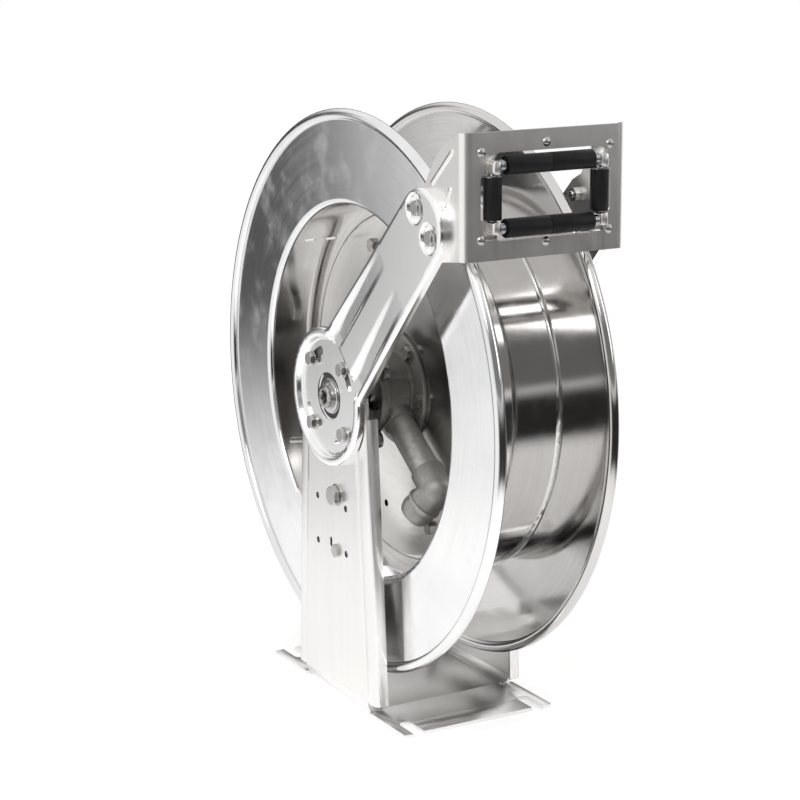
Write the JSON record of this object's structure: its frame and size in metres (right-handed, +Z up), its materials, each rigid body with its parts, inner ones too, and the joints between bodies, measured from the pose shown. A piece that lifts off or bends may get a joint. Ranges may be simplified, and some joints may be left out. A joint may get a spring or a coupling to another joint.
{
  "type": "fire hose reel",
  "caption": "Open spring-rewind hose reel: flanged sheet drum on a folded floor frame, with two tilting guide arms that carry a four-sided roller outlet",
  "frame": {"origin": "on the underside of the base, below the drum's axis and midway between its rims", "axes": "+Z up, +X along the drum's axis away from the latch side, -Y towards the roller outlet"},
  "size_m": [0.2309, 0.5998, 0.634],
  "materials": {
    "stainless_sheet": "satin",
    "polished_sheet": "polished",
    "satin_sheet": "satin",
    "brushed_sheet": "brushed",
    "stainless_fasteners": "satin",
    "turned_steel": "satin",
    "cast_steel": "matte",
    "cut_steel": "satin",
    "bearing_steel": "satin",
    "spring_steel": "satin",
    "black_screws": "satin",
    "friction_lining": "matte",
    "seal_rubber": "matte",
    "roller_plastic": "satin"
  },
  "bodies": {
    "frame": {"frame": "stainless_sheet", "shaft": "turned_steel", "shaft_collar": "turned_steel", "shaft_screw": "stainless_fasteners", "shaft_nut": "stainless_fasteners", "spacer_sleeves": "turned_steel", "inlet_adapter": "turned_steel", "spring_arbor": "cut_steel", "arbor_key": "cut_steel", "friction_discs": "friction_lining", "hub_bolts": "stainless_fasteners", "hub_washers": "stainless_fasteners", "hub_nuts": "stainless_fasteners", "stop_pin": "stainless_fasteners", "latch_bolt": "stainless_fasteners", "latch_washer": "stainless_fasteners", "latch_clip": "stainless_fasteners", "post_bolt": "stainless_fasteners", "post_nut": "stainless_fasteners"},
    "latch": {"pawl": "cut_steel", "latch_spring": "spring_steel"},
    "drum": {"flange_near": "polished_sheet", "flange_far": "polished_sheet", "barrel_near": "polished_sheet", "barrel_far": "polished_sheet", "centre_band": "polished_sheet", "web_disc": "satin_sheet", "web_ring": "satin_sheet", "web_bolts": "stainless_fasteners", "web_nuts": "stainless_fasteners", "hub": "cast_steel", "hub_flange_bolts": "stainless_fasteners", "hub_flange_nuts": "stainless_fasteners", "bearings": "bearing_steel", "swivel_body": "cast_steel", "swivel_seals": "seal_rubber", "ratchet": "cut_steel", "ratchet_screws": "black_screws", "riser_pipe": "cast_steel", "elbow": "cast_steel", "spring_case": "satin_sheet", "case_hub": "cast_steel", "power_spring": "spring_steel"},
    "guide": {"arm_near": "stainless_sheet", "arm_far": "stainless_sheet", "outlet_plate": "brushed_sheet", "roller_cage": "brushed_sheet", "rivets": "stainless_fasteners", "top_bolts": "stainless_fasteners", "top_washers": "stainless_fasteners", "top_nuts": "stainless_fasteners", "lying_pins": "turned_steel", "standing_pins": "turned_steel", "roller_collars": "spring_steel"},
    "top_roller_near": {"roller_top_near": "roller_plastic"},
    "top_roller_far": {"roller_top_far": "roller_plastic"},
    "low_roller_near": {"roller_low_near": "roller_plastic"},
    "low_roller_far": {"roller_low_far": "roller_plastic"},
    "near_roller": {"roller_near": "roller_plastic"},
    "far_roller": {"roller_far": "roller_plastic"}
  },
  "joints": [
    {"name": "drum_spin", "type": "hinge", "parent": "frame", "child": "drum", "pos_m": [0, 0, 0.334], "axis": [1, 0, 0], "continuous": true},
    {"name": "guide_tilt", "type": "hinge", "parent": "frame", "child": "guide", "pos_m": [0, 0, 0.334], "axis": [1, 0, 0], "range_deg": [-25, 0]},
    {"name": "latch_swing", "type": "hinge", "parent": "frame", "child": "latch", "pos_m": [-0.068, -0.01, 0.228], "axis": [1, 0, 0], "range_deg": [0, 24], "stiffness_Nm_per_rad": 0.3, "springref_deg": -20.05},
    {"name": "top_roller_near_spin", "type": "hinge", "parent": "guide", "child": "top_roller_near", "pos_m": [-0.026, -0.27444, 0.60234], "axis": [1, 0, 0], "continuous": true},
    {"name": "top_roller_far_spin", "type": "hinge", "parent": "guide", "child": "top_roller_far", "pos_m": [0.026, -0.27444, 0.60234], "axis": [1, 0, 0], "continuous": true},
    {"name": "low_roller_near_spin", "type": "hinge", "parent": "guide", "child": "low_roller_near", "pos_m": [-0.026, -0.27444, 0.54304], "axis": [1, 0, 0], "continuous": true},
    {"name": "low_roller_far_spin", "type": "hinge", "parent": "guide", "child": "low_roller_far", "pos_m": [0.026, -0.27444, 0.54304], "axis": [1, 0, 0], "continuous": true},
    {"name": "near_roller_spin", "type": "hinge", "parent": "guide", "child": "near_roller", "pos_m": [-0.06, -0.27094, 0.57139], "axis": [0, 0, 1], "continuous": true},
    {"name": "far_roller_spin", "type": "hinge", "parent": "guide", "child": "far_roller", "pos_m": [0.06, -0.27094, 0.57139], "axis": [0, 0, 1], "continuous": true}
  ]
}
